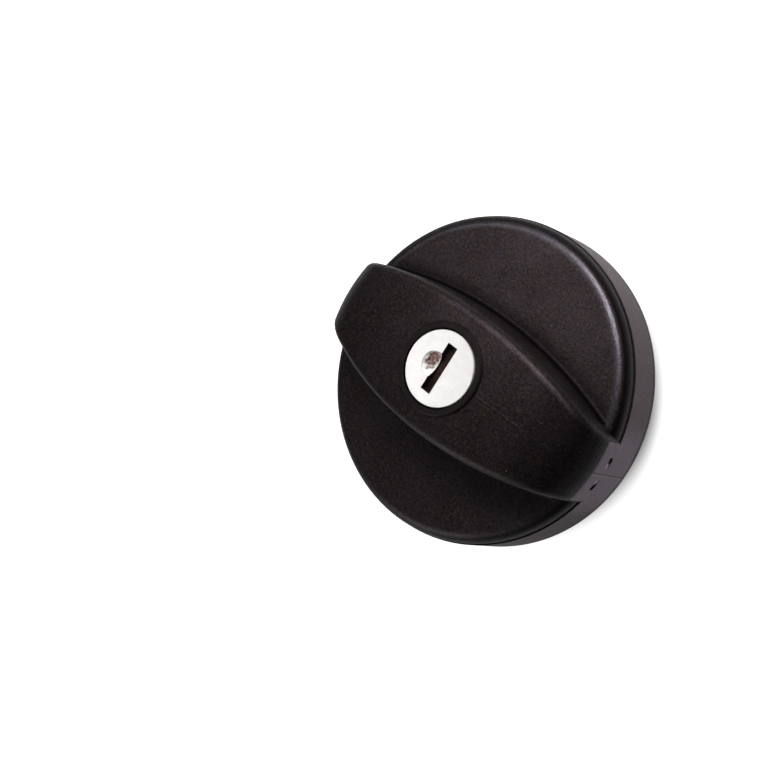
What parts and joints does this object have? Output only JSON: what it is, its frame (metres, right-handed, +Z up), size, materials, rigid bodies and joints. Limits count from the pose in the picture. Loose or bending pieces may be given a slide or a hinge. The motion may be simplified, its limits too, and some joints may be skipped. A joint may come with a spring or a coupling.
{
  "type": "fuel filler cap",
  "caption": "Round black locking fuel filler cap with an arched finger grip, a key lock in the grip, and a quarter-turn bayonet closure beneath.",
  "frame": {"origin": "on the cap's axis at the foot of the spigot, at the centre of the bounding box's lower face", "axes": "+Z up along the cap's axis towards the lock face, +X along the grip"},
  "size_m": [0.068, 0.068, 0.0378],
  "materials": {
    "cover_plastic": "black moulded plastic, spark-eroded matt top and smooth skirt",
    "bezel_black": "black coated die-cast zinc",
    "stainless": "satin stainless steel",
    "zinc": "die-cast zinc",
    "brass": "stamped brass",
    "spring_steel": "spring steel",
    "blackened_steel": "blackened steel",
    "plated_steel": "zinc plated steel",
    "closure_plastic": "black acetal",
    "housing_plastic": "natural nylon",
    "gasket_rubber": "nitrile rubber"
  },
  "bodies": {
    "closure": {"closure_body": "closure_plastic", "neck_gasket": "gasket_rubber", "valve_cage": "housing_plastic", "valve_spring": "spring_steel"},
    "cover": {"cap_cover": "cover_plastic", "retaining_ring": "spring_steel", "lock_sleeve": "bezel_black", "sleeve_pin": "spring_steel", "bolt_housing": "housing_plastic", "bolt_plate": "plated_steel", "housing_screws": "plated_steel"},
    "plug": {"lock_plug": "zinc", "face_cap": "stainless", "plug_clip": "spring_steel", "driver_cam": "zinc", "shutter_pin": "spring_steel", "shutter_spring": "spring_steel", "wafer_spring_1": "spring_steel", "wafer_spring_2": "spring_steel", "wafer_spring_3": "spring_steel", "wafer_spring_4": "spring_steel", "wafer_spring_5": "spring_steel", "wafer_spring_6": "spring_steel"},
    "shutter": {"dust_shutter": "blackened_steel"},
    "bolt": {"locking_bolt": "plated_steel"},
    "vent_valve": {"valve_disc": "gasket_rubber"},
    "wafer_body_1": {"wafer_1": "brass"},
    "wafer_body_2": {"wafer_2": "brass"},
    "wafer_body_3": {"wafer_3": "brass"},
    "wafer_body_4": {"wafer_4": "brass"},
    "wafer_body_5": {"wafer_5": "brass"},
    "wafer_body_6": {"wafer_6": "brass"}
  },
  "joints": [
    {"name": "cover_turn", "type": "hinge", "parent": "closure", "child": "cover", "pos_m": [0, 0, 0.014], "axis": [0, 0, 1], "continuous": true},
    {"name": "key_turn", "type": "hinge", "parent": "cover", "child": "plug", "pos_m": [0, 0, 0.03], "axis": [0, 0, 1], "range_deg": [0, 90]},
    {"name": "bolt_slide", "type": "slide", "parent": "cover", "child": "bolt", "axis": [1, 0, 0], "range_m": [0, 0.00311]},
    {"name": "shutter_swing", "type": "hinge", "parent": "plug", "child": "shutter", "pos_m": [0.0021, 0, 0.03523], "axis": [0, -1, 0], "range_deg": [0, 88], "stiffness_Nm_per_rad": 0.0002, "springref_deg": -45.84, "deforming": ["shutter_spring"]},
    {"name": "vent_lift", "type": "slide", "parent": "closure", "child": "vent_valve", "axis": [0, 0, 1], "range_m": [0, 0.0008], "stiffness_N_per_m": 250, "springref_m": -0.002, "deforming": ["valve_spring"]},
    {"name": "wafer_slide_1", "type": "slide", "parent": "plug", "child": "wafer_body_1", "axis": [0, 1, 0], "range_m": [0, 0.0008], "deforming": ["wafer_spring_1"]},
    {"name": "wafer_slide_2", "type": "slide", "parent": "plug", "child": "wafer_body_2", "axis": [0, -1, 0], "range_m": [0, 0.0008], "deforming": ["wafer_spring_2"]},
    {"name": "wafer_slide_3", "type": "slide", "parent": "plug", "child": "wafer_body_3", "axis": [0, 1, 0], "range_m": [0, 0.0008], "deforming": ["wafer_spring_3"]},
    {"name": "wafer_slide_4", "type": "slide", "parent": "plug", "child": "wafer_body_4", "axis": [0, -1, 0], "range_m": [0, 0.0008], "deforming": ["wafer_spring_4"]},
    {"name": "wafer_slide_5", "type": "slide", "parent": "plug", "child": "wafer_body_5", "axis": [0, 1, 0], "range_m": [0, 0.0008], "deforming": ["wafer_spring_5"]},
    {"name": "wafer_slide_6", "type": "slide", "parent": "plug", "child": "wafer_body_6", "axis": [0, -1, 0], "range_m": [0, 0.0008], "deforming": ["wafer_spring_6"]}
  ],
  "couplings": [
    {"joint": "bolt_slide", "follows": "key_turn", "m_per_rad": 0.0019807},
    {"joint": "wafer_slide_2", "follows": "wafer_slide_1", "ratio": 1},
    {"joint": "wafer_slide_3", "follows": "wafer_slide_1", "ratio": 1},
    {"joint": "wafer_slide_4", "follows": "wafer_slide_1", "ratio": 1},
    {"joint": "wafer_slide_5", "follows": "wafer_slide_1", "ratio": 1},
    {"joint": "wafer_slide_6", "follows": "wafer_slide_1", "ratio": 1}
  ]
}
